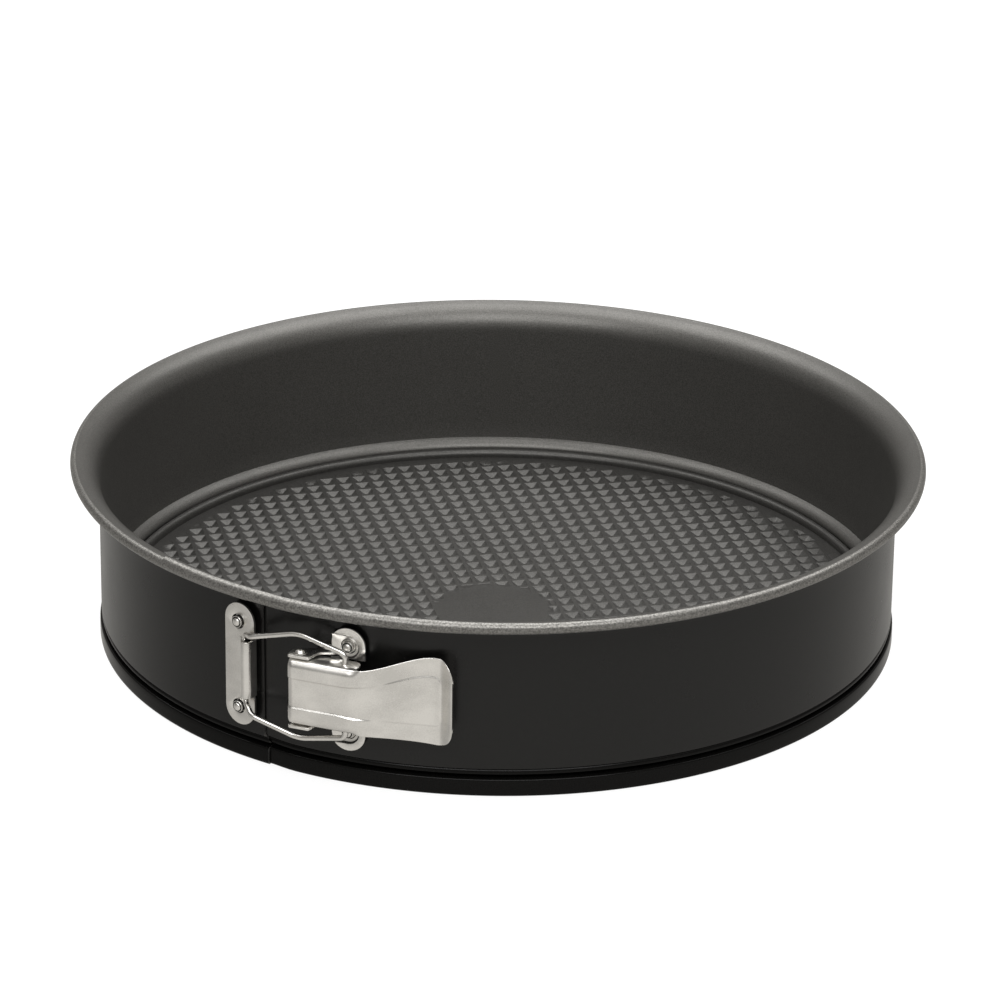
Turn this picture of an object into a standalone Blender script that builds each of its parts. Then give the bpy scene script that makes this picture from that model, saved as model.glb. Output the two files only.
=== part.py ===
"""A springform baking pan, closed, standing on its foot. Metres, +Z up, the pan's axis on the Z axis.

The band is one strip of sheet steel. It bends elastically as the buckle opens, so it is made here as
five arcs that meet at four upright flex lines. Azimuths are in degrees from -Y, the buckle's side,
counterclockwise seen from above, so +X is at 90.
"""

import math

import bmesh
import bpy
from mathutils import Matrix, Vector

MM = 0.001

# Driving sizes
WALL_RADIUS = 140 * MM  # inside of the wall
HEIGHT = 66.6 * MM
SHEET = 0.5 * MM
CLEARANCE = 0.3 * MM

# Band profile
FLARE_RADIUS = 9.5 * MM
BEAD_RADIUS = 2 * MM  # outside of the rolled rim
BEAD_SETBACK = 1.35 * MM  # the bead's centre, inside the flare's centre
NECK_RADIUS = WALL_RADIUS - 3.9 * MM  # inside of the neck that grips the base
NECK_TOP, NECK_BOTTOM = 10.8 * MM, 8.4 * MM
SKIRT_TOP = 6.2 * MM
LIP_RADIUS = WALL_RADIUS - 2.5 * MM  # inner edge of the lip under the base
SKIRT_STEP = 0.3 * MM  # how far the skirt stands outside the wall
FOOT_CORNER, SKIRT_CORNER = 0.9 * MM, 0.8 * MM
GROOVE_CORNER = 0.5 * MM
SHOULDER_RISE, SHOULDER_CORNER = 2.4 * MM, 1 * MM  # from the neck up to the wall
CURL_END = -160  # degrees, where the rolled rim's curl ends
STEP_DEGREES = 5

# Band arcs, as azimuths of their flex lines
RIGHT_FRONT_FLEX, RIGHT_REAR_FLEX = 25, 100
LEFT_REAR_FLEX, LEFT_FRONT_FLEX = 175, 250
SEAM = 326.7
TONGUE_END = 310
TONGUE_STEP = SHEET + 0.5 * MM
TONGUE_CURL = 0.7 * MM  # how much further in its free end stands, to clear the wall as the pan opens
TONGUE_ROWS = 12
TONGUE_TURN = 2.4  # degrees over which the tongue steps inwards
TONGUE_SINK = 0.12 * MM  # how far its joined end stands inside the wall's middle
TONGUE_BOTTOM, TONGUE_TOP = 14 * MM, 56 * MM
ARC_GAP = 0.06  # degrees left at each side of a flex line, 0.3 mm in all

# Base plate
BASE_SHEET = 0.7 * MM
FLOOR_HEIGHT = 8.2 * MM
BASE_RIM_HEIGHT = 9.9 * MM
BASE_RIM_RADIUS = NECK_RADIUS - 0.45 * MM  # outside
FLANGE_RADIUS = NECK_RADIUS + 2 * MM
FLANGE_BOTTOM = 1.3 * MM
BASE_CORNER = 0.7 * MM
BASE_RING = 3 * MM  # width of the slope up to the base's rim

# Buckle
MIDDLE = 35.3 * MM  # height of the buckle's middle
PLATE_LENGTH, PLATE_WIDTH, PLATE_SHEET = 44.3 * MM, 12.3 * MM, 1 * MM
RIVET_SPREAD = 15.55 * MM
RIVET_RADIUS, RIVET_HEAD_RADIUS, RIVET_DOME = 1.4 * MM, 2.6 * MM, 1.7 * MM
RIVET_TAIL = 0.7 * MM
HOLE_RADIUS = RIVET_RADIUS + CLEARANCE
HOLE_LENGTH, HOLE_SINK = 12 * MM, 2 * MM
JOIN_SINK = 0.4 * MM  # how far a joined piece reaches into its neighbour
BOSS_RADIUS = 3.6 * MM
CATCH_AZIMUTH = -36.6
CATCH_FACE = WALL_RADIUS + 3.2 * MM  # distance of the catch plate's front from the axis
CHANNEL_ACROSS = 3.6 * MM
CHANNEL_LENGTH = 20.6 * MM
CHANNEL_RADIUS, CHANNEL_SHEET = 2.9 * MM, 0.9 * MM
CHANNEL_RISE = 0.6 * MM  # height of its straight sides over the plate
WIRE_RADIUS = 1 * MM
WIRE_OUT = CATCH_FACE + WIRE_RADIUS + CLEARANCE  # distance of the wire's axis in the channel
LEVER_AZIMUTH = -21
HINGE_FACE = WALL_RADIUS + 2.9 * MM
HINGE_ACROSS = 2.7 * MM
PIVOT_ACROSS, PIVOT_OUT = -12.1 * MM, WALL_RADIUS + 7.8 * MM
HOOK_ACROSS, HOOK_OUT = 3.9 * MM, WALL_RADIUS + 7.6 * MM
EAR_SHEET, EAR_GAP = 1 * MM, 0.6 * MM
EAR_FRONT = WALL_RADIUS + 11.3 * MM
EAR_ROOT = 4.5 * MM  # how far the hinge plate's middle reaches left, to carry the ears
PIN_RADIUS, PIN_HEAD_RADIUS, PIN_DOME = 1.4 * MM, 2.3 * MM, 1.2 * MM
LEVER_SHEET = 0.8 * MM
LEVER_FACE = WALL_RADIUS + 12.5 * MM
LEVER_LEFT, LEVER_RIGHT = -15.2 * MM, 39.2 * MM
LEVER_HALF, TAB_HALF = 11.8 * MM, 15.8 * MM
TAB_DROP = 12.3 * MM  # how much nearer the wall the thumb tab is
DROP_START, DROP_END = 6 * MM, 33 * MM
FLARE_START, FLARE_END = 9 * MM, 34 * MM  # where the lever widens into the tab
TAB_CORNER = 6 * MM
CHEEK_BACK = WALL_RADIUS + 4.7 * MM
CHEEK_RIGHT, CHEEK_CORNER = 8.3 * MM, 2.5 * MM
CHEEK_OUTSIDE = LEVER_HALF - 0.1 * MM
EAR_INSIDE = CHEEK_OUTSIDE + EAR_GAP
EAR_OUTSIDE = EAR_INSIDE + EAR_SHEET
THROUGH = 40 * MM  # length of a cutter that passes through the whole lever

# The wire's upper half, from the buckle's middle height
WIRE_LEG = 12.3 * MM  # where it leaves the channel
WIRE_EXIT = Vector((-31.2 * MM, -(WALL_RADIUS + 5.3 * MM), 14.4 * MM))
WIRE_SHOULDER = Vector((-13.7 * MM, -(WALL_RADIUS + 6 * MM), 19.1 * MM))
WIRE_HOOK_TOP = 15.2 * MM
WIRE_BENDS = (1.9 * MM, 2 * MM, 4 * MM, 2 * MM)

PART_COLLECTION = "springform_pan"
CUTTER_COLLECTION = "cutters"


def clear_scene():
    for obj in list(bpy.data.objects):
        bpy.data.objects.remove(obj, do_unlink=True)


def new_collection(name):
    found = bpy.data.collections.new(name)
    bpy.context.scene.collection.children.link(found)
    return found


def new_material(name, colour, metallic, roughness):
    made = bpy.data.materials.new(name)
    made.use_nodes = True
    shader = made.node_tree.nodes["Principled BSDF"]
    shader.inputs["Base Color"].default_value = (*colour, 1)
    shader.inputs["Metallic"].default_value = metallic
    shader.inputs["Roughness"].default_value = roughness
    return made


def add_object(name, data, finish):
    obj = bpy.data.objects.new(name, data)
    data.materials.append(finish)
    bpy.data.collections[PART_COLLECTION].objects.link(obj)
    return obj


def smooth(mesh, degrees=40):
    mesh.shade_smooth()
    mesh.set_sharp_from_angle(angle=math.radians(degrees))


def mesh_of(bm, name):
    bmesh.ops.recalc_face_normals(bm, faces=bm.faces)
    mesh = bpy.data.meshes.new(name)
    bm.to_mesh(mesh)
    bm.free()
    return mesh


def arc_points(centre, radius, first, last, count):
    """Points (x, y) on an arc, with its angles in degrees from +X."""
    angles = [math.radians(first + (last - first) * i / (count - 1)) for i in range(count)]
    return [(centre[0] + radius * math.cos(a), centre[1] + radius * math.sin(a)) for a in angles]


def ease(x, start, end):
    t = min(1, max(0, (x - start) / (end - start)))
    return t * t * (3 - 2 * t)


def at_azimuth(degrees):
    """The frame of a buckle part: X runs along the wall, -Y out of it, and Z up."""
    return Matrix.Rotation(math.radians(degrees), 4, "Z")


# Turned pieces


def profile_mesh(name, points):
    bm = bmesh.new()
    verts = [bm.verts.new((radius, 0, height)) for radius, height in points]
    for lower, upper in zip(verts, verts[1:]):
        bm.edges.new((lower, upper))
    mesh = bpy.data.meshes.new(name)
    bm.to_mesh(mesh)
    bm.free()
    return mesh


def add_screw(obj, degrees, steps):
    screw = obj.modifiers.new("Screw", "SCREW")
    screw.axis = "Z"
    screw.angle = math.radians(degrees)
    screw.steps = screw.render_steps = steps
    screw.use_merge_vertices = True
    screw.merge_threshold = 0.00001


def add_solidify(obj, thickness):
    solidify = obj.modifiers.new("Solidify", "SOLIDIFY")
    solidify.thickness = thickness
    solidify.offset = 0
    solidify.use_even_offset = True


def turned_sheet(name, profile, first, last, sheet, finish):
    """A sheet of even thickness along a profile, turned between two azimuths."""
    obj = add_object(name, profile_mesh(name, profile), finish)
    obj.rotation_euler.z = math.radians(first - 90)
    add_screw(obj, last - first, max(1, round((last - first) / STEP_DEGREES)))
    add_solidify(obj, sheet)
    return obj


def band_profile():
    """The middle of the band's sheet, from the lip under the base to the end of the rolled rim."""
    half = SHEET / 2
    wall = WALL_RADIUS + half
    neck = NECK_RADIUS + half
    skirt = wall + SKIRT_STEP
    flare = (wall + FLARE_RADIUS, HEIGHT - half - FLARE_RADIUS)
    bead = (flare[0] - BEAD_SETBACK, HEIGHT - BEAD_RADIUS)
    foot = [
        (LIP_RADIUS, half),
        (skirt - FOOT_CORNER, half),
        (skirt, half + FOOT_CORNER),
        (skirt, SKIRT_TOP - SKIRT_CORNER),
        (skirt - SKIRT_CORNER, SKIRT_TOP - half),
        (neck + GROOVE_CORNER, NECK_BOTTOM - GROOVE_CORNER),
        (neck, NECK_BOTTOM),
        (neck, NECK_TOP - GROOVE_CORNER),
        (neck + GROOVE_CORNER, NECK_TOP),
        (wall - SHOULDER_CORNER, NECK_TOP + SHOULDER_RISE - SHOULDER_CORNER),
        (wall, NECK_TOP + SHOULDER_RISE),
    ]
    flared = arc_points(flare, FLARE_RADIUS, 180, 98, 6)
    curl = arc_points(bead, BEAD_RADIUS - half, 90, CURL_END, 9)
    return foot + flared + curl


def band_arc(name, first, last, finish):
    return turned_sheet(name, band_profile(), first, last, SHEET, finish)


def tongue_mesh():
    """The band's inner end: it steps inwards and slides behind the other end."""
    outer = WALL_RADIUS + SHEET / 2
    start = SEAM + TONGUE_TURN + 3 * ARC_GAP
    bm = bmesh.new()
    rows = []
    for i in range(TONGUE_ROWS + 1):
        azimuth = TONGUE_END + (start - TONGUE_END) * i / TONGUE_ROWS
        inwards = 1 - ease(azimuth, start - TONGUE_TURN, start)
        curl = max(0, (SEAM - azimuth) / (SEAM - TONGUE_END)) ** 2
        radius = outer - TONGUE_SINK - (TONGUE_STEP - TONGUE_SINK) * inwards - TONGUE_CURL * curl
        angle = math.radians(azimuth - 90)
        side = Vector((radius * math.cos(angle), radius * math.sin(angle), 0))
        rows.append([bm.verts.new(side + Vector((0, 0, z))) for z in (TONGUE_BOTTOM, TONGUE_TOP)])
    for one, other in zip(rows, rows[1:]):
        bm.faces.new((one[0], other[0], other[1], one[1]))
    return mesh_of(bm, "tongue")


def add_tongue(band):
    tongue = bpy.data.objects.new("tongue", tongue_mesh())
    add_solidify(tongue, SHEET)
    hide_as_cutter(tongue)
    add_boolean(band, tongue, "UNION")


def base_profile():
    """The middle of the base's sheet, from its centre to the edge of its flange."""
    half = BASE_SHEET / 2
    side = BASE_RIM_RADIUS - half
    top = BASE_RIM_HEIGHT - half
    flange = FLANGE_BOTTOM + half
    return [
        (0, FLOOR_HEIGHT - half),
        (side / 2, FLOOR_HEIGHT - half),
        (side - BASE_CORNER - BASE_RING, FLOOR_HEIGHT - half),
        (side - 2 * BASE_CORNER, top - BASE_CORNER / 3),
        (side - BASE_CORNER, top),
        (side, top - BASE_CORNER),
        (side, flange + BASE_CORNER),
        (side + BASE_CORNER, flange),
        (FLANGE_RADIUS, flange),
    ]


def rivet_profile(shank, tail):
    """Half of a rivet's section, down its outer side: a domed head at z = 0, a shank, a flat tail."""
    dome = [(RIVET_HEAD_RADIUS * math.sin(a), RIVET_DOME * math.cos(a)) for a in dome_angles()]
    points = dome + [(RIVET_RADIUS, 0), (RIVET_RADIUS, -shank)]
    if tail:
        points += [(RIVET_HEAD_RADIUS, -shank), (RIVET_HEAD_RADIUS, -shank - tail)]
    return points + [(0, -shank - tail)]


def dome_angles():
    return [math.radians(90 * i / 4) for i in range(5)]


def pin_profile():
    """Half of the lever pin's section, down its outer side, with a low dome at both ends."""
    reach = EAR_OUTSIDE + CLEARANCE
    dome = [(PIN_HEAD_RADIUS * math.sin(a), reach + PIN_DOME * math.cos(a)) for a in dome_angles()]
    upper = dome + [(PIN_RADIUS, reach)]
    return upper + [(radius, -height) for radius, height in reversed(upper)]


def turned_solid(name, profile, finish, steps=16):
    obj = add_object(name, profile_mesh(name, profile), finish)
    add_screw(obj, 360, steps)
    return obj


# Cutting and joining


def hide_as_cutter(obj):
    obj.hide_render = True
    obj.display_type = "WIRE"
    bpy.data.collections[CUTTER_COLLECTION].objects.link(obj)


def add_boolean(obj, other, operation):
    boolean = obj.modifiers.new(operation.title(), "BOOLEAN")
    boolean.operation = operation
    boolean.object = other
    boolean.solver = "EXACT"


def round_bar(name, radius, length, matrix, segments=20):
    """A helper cylinder along its own Z axis."""
    bm = bmesh.new()
    bmesh.ops.create_cone(
        bm, cap_ends=True, segments=segments, radius1=radius, radius2=radius, depth=length
    )
    bar = bpy.data.objects.new(name, mesh_of(bm, name))
    bar.matrix_world = matrix
    hide_as_cutter(bar)
    return bar


def outline_mesh(name, points, thickness, matrix):
    """A flat outline in X and Y, thick along Z and centred there, then moved by a matrix."""
    curve = bpy.data.curves.new(name, "CURVE")
    curve.dimensions = "2D"
    curve.fill_mode = "BOTH"
    curve.extrude = thickness / 2
    spline = curve.splines.new("POLY")
    spline.points.add(len(points) - 1)
    for point, (x, y) in zip(spline.points, points):
        point.co = (x, y, 0, 1)
    spline.use_cyclic_u = True
    mesh = mesh_from_curve(bpy.data.objects.new(name, curve))
    mesh.transform(matrix)
    return mesh


def mesh_from_curve(obj):
    """The curve object as a welded mesh. The object is removed."""
    name = obj.name
    bpy.context.scene.collection.objects.link(obj)
    bpy.context.view_layer.update()
    graph = bpy.context.evaluated_depsgraph_get()
    raw = bpy.data.meshes.new_from_object(obj.evaluated_get(graph))
    bm = bmesh.new()
    bm.from_mesh(raw)
    bmesh.ops.remove_doubles(bm, verts=bm.verts, dist=0.000001)
    bpy.data.objects.remove(obj, do_unlink=True)
    bpy.data.meshes.remove(raw)
    return mesh_of(bm, name)


def upright(across, out, up):
    """Turns an outline drawn across and up so that it faces out of the wall, and puts it in place."""
    return Matrix.Translation((across, -out, up)) @ Matrix.Rotation(math.radians(90), 4, "X")


# Buckle


def stadium(length, width, count=9):
    """An upright slot-shaped outline about the origin."""
    radius = width / 2
    straight = length / 2 - radius
    top = arc_points((0, straight), radius, 0, 180, count)
    bottom = arc_points((0, -straight), radius, 180, 360, count)
    return top + bottom


def rivet_heights():
    return (MIDDLE + RIVET_SPREAD, MIDDLE - RIVET_SPREAD)


def facing_out(across, out, up, azimuth):
    """A frame whose Z axis points straight out of the wall, for rivets, bosses and their holes."""
    tilt = Matrix.Rotation(math.radians(90), 4, "X")
    return at_azimuth(azimuth) @ Matrix.Translation((across, -out, up)) @ tilt


def add_rivet_fixings(plate, band, across, face, azimuth, wall, label):
    """Bosses behind the plate that reach the wall, and holes through the bosses and the band."""
    for side, height in zip(("upper", "lower"), rivet_heights()):
        back = face - PLATE_SHEET
        boss_length = back + JOIN_SINK - (wall + CLEARANCE)
        middle = (back + JOIN_SINK + wall + CLEARANCE) / 2
        place = facing_out(across, middle, height, azimuth)
        add_boolean(plate, round_bar(f"{label}_{side}_boss", BOSS_RADIUS, boss_length, place), "UNION")
    for side, height in zip(("upper", "lower"), rivet_heights()):
        place = facing_out(across, face - HOLE_SINK, height, azimuth)
        hole = round_bar(f"{label}_{side}_hole", HOLE_RADIUS, HOLE_LENGTH, place)
        add_boolean(plate, hole, "DIFFERENCE")
        add_boolean(band, hole, "DIFFERENCE")


def add_rivets(label, across, face, azimuth, end, tail, finish):
    """Two rivets, each with its head on the plate, and its shank ending at a distance from the axis."""
    under_head = face + CLEARANCE
    for side, height in zip(("upper", "lower"), rivet_heights()):
        profile = rivet_profile(under_head - end, tail)
        rivet = turned_solid(f"{label}_rivet_{side}", profile, finish)
        rivet.matrix_world = facing_out(across, under_head, height, azimuth)


def channel_outline():
    """The section of the raised channel that holds the wire: an arch that stands on the plate."""
    foot = CATCH_FACE - JOIN_SINK
    spring_line = CATCH_FACE + CHANNEL_RISE
    inner = CHANNEL_RADIUS - CHANNEL_SHEET
    outside = arc_points((CHANNEL_ACROSS, -spring_line), CHANNEL_RADIUS, 0, -180, 13)
    inside = arc_points((CHANNEL_ACROSS, -spring_line), inner, -180, 0, 11)
    left, right = CHANNEL_ACROSS - CHANNEL_RADIUS, CHANNEL_ACROSS + CHANNEL_RADIUS
    return (
        [(right, -foot)]
        + outside
        + [(left, -foot), (left + CHANNEL_SHEET, -foot)]
        + inside
        + [(right - CHANNEL_SHEET, -foot)]
    )


def build_catch_plate(band, finish):
    flat = upright(0, CATCH_FACE - PLATE_SHEET / 2, MIDDLE)
    outline = stadium(PLATE_LENGTH, PLATE_WIDTH)
    plate = add_object("catch_plate", outline_mesh("catch_plate", outline, PLATE_SHEET, flat), finish)
    plate.matrix_world = at_azimuth(CATCH_AZIMUTH)
    arch = outline_mesh(
        "channel", channel_outline(), CHANNEL_LENGTH, Matrix.Translation((0, 0, MIDDLE))
    )
    channel = bpy.data.objects.new("channel", arch)
    channel.matrix_world = at_azimuth(CATCH_AZIMUTH)
    hide_as_cutter(channel)
    add_boolean(plate, channel, "UNION")
    add_rivet_fixings(plate, band, 0, CATCH_FACE, CATCH_AZIMUTH, WALL_RADIUS + SHEET, "catch")


def hinge_outline():
    """The hinge plate: a slot shape with a wider middle, whose left side carries the two ears."""
    half_width, reach = PLATE_WIDTH / 2, PLATE_LENGTH / 2 - PLATE_WIDTH / 2
    top = arc_points((0, reach), half_width, 0, 180, 9)
    bottom = arc_points((0, -reach), half_width, 180, 360, 9)
    left = -half_width - EAR_ROOT
    return top + [(left, EAR_OUTSIDE), (left, -EAR_OUTSIDE)] + bottom


def ear_outline():
    """An ear seen from above: from the hinge plate out to a straight front edge past the pin."""
    front = -EAR_FRONT
    root = -(HINGE_FACE - JOIN_SINK)
    return [
        (PIVOT_ACROSS - 3.4 * MM, front),
        (PIVOT_ACROSS + 4.4 * MM, front),
        (PIVOT_ACROSS + 4.9 * MM, front + 4.4 * MM),
        (PIVOT_ACROSS + 5.9 * MM, front + 5.8 * MM),
        (PIVOT_ACROSS + 10 * MM, front + 7.2 * MM),
        (PIVOT_ACROSS + 12 * MM, root),
        (PIVOT_ACROSS + 5.2 * MM, root),
        (PIVOT_ACROSS - 1 * MM, front + 7 * MM),
        (PIVOT_ACROSS - 3.4 * MM, front + 5.4 * MM),
    ]


def build_hinge_plate(band, finish):
    frame = at_azimuth(LEVER_AZIMUTH)
    flat = upright(HINGE_ACROSS, HINGE_FACE - PLATE_SHEET / 2, MIDDLE)
    mesh = outline_mesh("hinge_plate", hinge_outline(), PLATE_SHEET, flat)
    plate = add_object("hinge_plate", mesh, finish)
    plate.matrix_world = frame
    for side, sign in (("upper", 1), ("lower", -1)):
        height = MIDDLE + sign * (EAR_INSIDE + EAR_OUTSIDE) / 2
        ear_mesh = outline_mesh(
            f"{side}_ear", ear_outline(), EAR_SHEET, Matrix.Translation((0, 0, height))
        )
        ear = bpy.data.objects.new(f"{side}_ear", ear_mesh)
        ear.matrix_world = frame
        hide_as_cutter(ear)
        add_boolean(plate, ear, "UNION")
    pin_place = frame @ Matrix.Translation((PIVOT_ACROSS, -PIVOT_OUT, MIDDLE))
    pin_hole = round_bar("ear_pin_hole", PIN_RADIUS + CLEARANCE, THROUGH, pin_place)
    add_boolean(plate, pin_hole, "DIFFERENCE")
    add_rivet_fixings(
        plate, band, HINGE_ACROSS, HINGE_FACE, LEVER_AZIMUTH, WALL_RADIUS + SHEET, "hinge"
    )


def lever_out(across):
    """How far the lever's front is from the pan's axis, at a place along the wall."""
    return LEVER_FACE - TAB_DROP * ease(across, DROP_START, DROP_END)


def lever_half_height(across):
    half = LEVER_HALF + (TAB_HALF - LEVER_HALF) * ease(across, FLARE_START, FLARE_END)
    past = across - (LEVER_RIGHT - TAB_CORNER)
    if past <= 0:
        return half
    return half - TAB_CORNER + math.sqrt(max(0, TAB_CORNER**2 - past**2))


def lever_stations():
    """Places along the lever where its sheet has a row of points, closer together in the corners."""
    flat = [LEVER_LEFT, DROP_START]
    bend = [DROP_START + (LEVER_RIGHT - TAB_CORNER - DROP_START) * i / 10 for i in range(1, 11)]
    turns = [math.radians(90 * i / 6) for i in range(1, 7)]
    corner = [LEVER_RIGHT - TAB_CORNER + TAB_CORNER * math.sin(turn) for turn in turns]
    return flat + bend + corner


def lever_mesh():
    """The middle of the lever's front sheet, with its origin on the pivot."""
    bm = bmesh.new()
    rows = []
    for across in lever_stations():
        out = lever_out(across) - LEVER_SHEET / 2
        half = lever_half_height(across)
        heights = (-half, -half / 2, 0, half / 2, half)
        spot = Vector((across - PIVOT_ACROSS, PIVOT_OUT - out, 0))
        rows.append([bm.verts.new(spot + Vector((0, 0, height))) for height in heights])
    for one, other in zip(rows, rows[1:]):
        for i in range(4):
            bm.faces.new((one[i], other[i], other[i + 1], one[i + 1]))
    return mesh_of(bm, "lever")


def cheek_outline():
    """A side of the lever's channel seen from above, with its origin on the pivot."""
    left, right = LEVER_LEFT - PIVOT_ACROSS, CHEEK_RIGHT - PIVOT_ACROSS
    front = PIVOT_OUT - (LEVER_FACE - LEVER_SHEET / 2)
    back = PIVOT_OUT - CHEEK_BACK
    left_round = arc_points((0, 0), back, 90, 165, 5)
    right_round = arc_points((right - CHEEK_CORNER, back - CHEEK_CORNER), CHEEK_CORNER, 0, 90, 5)
    return [(left, front), (right - JOIN_SINK, front)] + right_round + left_round


def build_lever(finish):
    frame = at_azimuth(LEVER_AZIMUTH) @ Matrix.Translation((PIVOT_ACROSS, -PIVOT_OUT, MIDDLE))
    lever = add_object("lever", lever_mesh(), finish)
    lever.matrix_world = frame
    add_solidify(lever, LEVER_SHEET)
    for side, sign in (("upper", 1), ("lower", -1)):
        height = sign * (CHEEK_OUTSIDE - LEVER_SHEET / 2)
        mesh = outline_mesh(
            f"{side}_cheek", cheek_outline(), LEVER_SHEET, Matrix.Translation((0, 0, height))
        )
        cheek = bpy.data.objects.new(f"{side}_cheek", mesh)
        cheek.matrix_world = frame
        hide_as_cutter(cheek)
        add_boolean(lever, cheek, "UNION")
    hook = frame @ Matrix.Translation((HOOK_ACROSS - PIVOT_ACROSS, PIVOT_OUT - HOOK_OUT, 0))
    for name, radius, place in (
        ("lever_pin_hole", PIN_RADIUS + CLEARANCE, frame),
        ("lever_hook_hole", WIRE_RADIUS + CLEARANCE, hook),
    ):
        add_boolean(lever, round_bar(name, radius, THROUGH, place), "DIFFERENCE")
    pin = turned_solid("lever_pin", pin_profile(), finish)
    pin.matrix_world = frame


def rounded_path(corners, radii, count=4):
    """The points of a path through corners, with each inner corner turned on a curve of its size."""
    path = [corners[0]]
    for before, corner, after, size in zip(corners, corners[1:], corners[2:], radii):
        start = corner + (before - corner).normalized() * size
        end = corner + (after - corner).normalized() * size
        for i in range(count + 1):
            t = i / count
            path.append(start * (1 - t) ** 2 + corner * 2 * t * (1 - t) + end * t * t)
    path.append(corners[-1])
    return path


def wire_corners():
    """The upper half of the wire in the lever's frame: channel, front leg, bend and hook."""
    channel = at_azimuth(CATCH_AZIMUTH - LEVER_AZIMUTH) @ Vector((CHANNEL_ACROSS, -WIRE_OUT, 0))
    hook_top = Vector((HOOK_ACROSS, -HOOK_OUT, WIRE_HOOK_TOP))
    hook_tip = Vector((HOOK_ACROSS, -HOOK_OUT, CHEEK_OUTSIDE + CLEARANCE))
    leg_top = channel + Vector((0, 0, WIRE_LEG))
    return [channel, leg_top, WIRE_EXIT, WIRE_SHOULDER, hook_top, hook_tip]


def build_wire_bail(finish):
    upper = rounded_path(wire_corners(), WIRE_BENDS)
    lower = [Vector((point.x, point.y, -point.z)) for point in reversed(upper[1:])]
    curve = bpy.data.curves.new("wire_bail", "CURVE")
    curve.dimensions = "3D"
    curve.bevel_depth = WIRE_RADIUS
    curve.bevel_resolution = 2
    curve.use_fill_caps = True
    points = lower + upper[1:]
    spline = curve.splines.new("POLY")
    spline.points.add(len(points) - 1)
    for point, spot in zip(spline.points, points):
        point.co = (spot.x, spot.y, spot.z + MIDDLE, 1)
    wire = add_object("wire_bail", curve, finish)
    wire.matrix_world = at_azimuth(LEVER_AZIMUTH)


def build_band(finish):
    band_arc("band_back", RIGHT_REAR_FLEX + ARC_GAP, LEFT_REAR_FLEX - ARC_GAP, finish)
    band_arc("band_side_right", RIGHT_FRONT_FLEX + ARC_GAP, RIGHT_REAR_FLEX - ARC_GAP, finish)
    band_arc("band_side_left", LEFT_REAR_FLEX + ARC_GAP, LEFT_FRONT_FLEX - ARC_GAP, finish)
    left = band_arc("band_front_left", LEFT_FRONT_FLEX + ARC_GAP, SEAM - ARC_GAP, finish)
    seam_to_flex = (SEAM + ARC_GAP - 360, RIGHT_FRONT_FLEX - ARC_GAP)
    right = band_arc("band_front_right", *seam_to_flex, finish)
    add_tongue(right)
    return left, right


def build_pan():
    coated = new_material("coated_steel", (0.035, 0.034, 0.031), 0.4, 0.45)
    coated_base = new_material("coated_base", (0.06, 0.058, 0.055), 0.4, 0.5)
    stainless = new_material("stainless_steel", (0.55, 0.53, 0.5), 1, 0.35)
    left, right = build_band(coated)
    base = turned_sheet("base_plate", base_profile(), 0, 360, BASE_SHEET, coated_base)
    base.rotation_euler.z = 0
    build_catch_plate(left, stainless)
    build_hinge_plate(right, stainless)
    # The catch's rivets end within the wall, because the tongue slides behind them.
    flush, inside = WALL_RADIUS + SHEET / 4, WALL_RADIUS - CLEARANCE
    add_rivets("catch", 0, CATCH_FACE, CATCH_AZIMUTH, flush, 0, stainless)
    add_rivets("hinge", HINGE_ACROSS, HINGE_FACE, LEVER_AZIMUTH, inside, RIVET_TAIL, stainless)
    build_wire_bail(stainless)
    build_lever(stainless)


def shade_round_pieces():
    for obj in bpy.data.collections[PART_COLLECTION].objects:
        if obj.type == "MESH" and obj.data.polygons:
            smooth(obj.data)


clear_scene()
new_collection(PART_COLLECTION)
new_collection(CUTTER_COLLECTION)
build_pan()
shade_round_pieces()
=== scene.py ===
"""The looks of a springform pan: a coated band with its rolled rim and overlapped seam, a loose base with
a waffle floor, and a stainless lever buckle. Metres, +Z up. Azimuths are in degrees from -Y, the buckle's
side, counterclockwise seen from above.
"""

import math

import bmesh
import bpy
import numpy as np
from mathutils import Matrix, Vector
from mathutils.geometry import delaunay_2d_cdt


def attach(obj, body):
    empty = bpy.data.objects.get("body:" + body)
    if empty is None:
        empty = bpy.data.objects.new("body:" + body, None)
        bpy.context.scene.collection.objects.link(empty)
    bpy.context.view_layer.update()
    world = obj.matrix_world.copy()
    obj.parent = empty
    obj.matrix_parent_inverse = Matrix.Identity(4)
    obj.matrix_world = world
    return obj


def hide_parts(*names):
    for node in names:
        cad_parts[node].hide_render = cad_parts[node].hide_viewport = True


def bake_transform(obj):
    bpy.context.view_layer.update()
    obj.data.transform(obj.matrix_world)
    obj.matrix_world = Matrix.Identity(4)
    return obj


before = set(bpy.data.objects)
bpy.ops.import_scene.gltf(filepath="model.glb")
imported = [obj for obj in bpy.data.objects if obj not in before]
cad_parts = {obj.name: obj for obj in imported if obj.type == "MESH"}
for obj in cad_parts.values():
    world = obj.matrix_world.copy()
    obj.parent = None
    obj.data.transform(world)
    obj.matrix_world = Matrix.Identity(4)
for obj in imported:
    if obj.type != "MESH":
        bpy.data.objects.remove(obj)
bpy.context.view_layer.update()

MM = 0.001

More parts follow.
